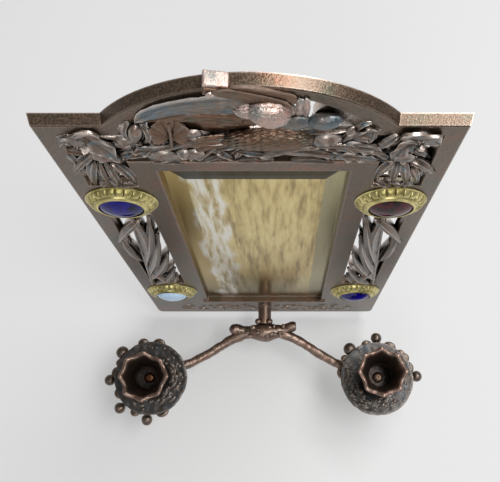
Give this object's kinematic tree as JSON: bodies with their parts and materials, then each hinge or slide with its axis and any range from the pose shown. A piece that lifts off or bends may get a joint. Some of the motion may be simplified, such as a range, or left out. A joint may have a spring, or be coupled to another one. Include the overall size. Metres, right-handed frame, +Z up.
{
  "type": "wall sconce",
  "caption": "Arched openwork cast frame with a bevelled mirror, domed glass jewels in brass bezels, a bird among leaves, and a branch that carries candle cups on drip pans.",
  "frame": {"origin": "in the plane of the wall, on the centreline, at the middle of the mirror's opening", "axes": "+X right as seen from the front, +Y into the wall, +Z up"},
  "size_m": [0.3212, 0.1354, 0.4658],
  "materials": {
    "frame_bronze": "bronzed and worn",
    "leaf_bronze": "bronzed, dark in the hollows",
    "bird_bronze": "bronzed, rubbed bright on the breast",
    "branch_bronze": "bronzed and rubbed",
    "pan_bronze": "dark gunmetal",
    "cup_bronze": "dark, coppery on the rim",
    "bezel_brass": "aged brass",
    "screw_brass": "dull brass",
    "foil_tin": "bright tin",
    "steel_wire": "plain",
    "sheet_steel": "blackened sheet",
    "mirror": "silvered and bevelled",
    "board": "plain",
    "cobalt_glass": "polished",
    "ruby_glass": "polished",
    "opal_glass": "milky"
  },
  "bodies": {
    "frame": {"frame_casting": "frame_bronze", "upper_spray": "leaf_bronze", "left_leaf_panel": "leaf_bronze", "right_leaf_panel": "leaf_bronze", "bird": "bird_bronze", "bird_pins": "steel_wire", "panel_rivets": "steel_wire", "mirror_glass": "mirror", "mirror_backing": "board", "back_plate": "sheet_steel", "back_plate_screws": "screw_brass", "hanger": "sheet_steel", "hanger_screws": "screw_brass", "upper_left_bezel": "bezel_brass", "upper_left_jewel_cup": "foil_tin", "upper_right_bezel": "bezel_brass", "upper_right_jewel_cup": "foil_tin", "lower_left_bezel": "bezel_brass", "lower_left_jewel_cup": "foil_tin", "lower_right_bezel": "bezel_brass", "lower_right_jewel_cup": "foil_tin", "upper_left_jewel": "cobalt_glass", "upper_right_jewel": "ruby_glass", "lower_left_jewel": "opal_glass", "lower_right_jewel": "cobalt_glass"},
    "branch": {"arm_bracket": "branch_bronze", "stem_washer": "steel_wire", "stem_nut": "screw_brass", "left_crown": "branch_bronze", "right_crown": "branch_bronze"},
    "left_holder": {"left_drip_pan": "pan_bronze", "left_candle_cup": "cup_bronze", "left_cup_screw": "screw_brass"},
    "right_holder": {"right_drip_pan": "pan_bronze", "right_candle_cup": "cup_bronze", "right_cup_screw": "screw_brass"}
  },
  "joints": [
    {"name": "branch_turn", "type": "hinge", "parent": "frame", "child": "branch", "pos_m": [0, -0.01123, -0.1815], "axis": [0, 1, 0], "continuous": true},
    {"name": "left_holder_turn", "type": "hinge", "parent": "branch", "child": "left_holder", "pos_m": [-0.1124, -0.08923, -0.1615], "axis": [0, -0.1045, 0.9945], "continuous": true},
    {"name": "right_holder_turn", "type": "hinge", "parent": "branch", "child": "right_holder", "pos_m": [0.1124, -0.08923, -0.1615], "axis": [0, 0, 1], "continuous": true}
  ]
}
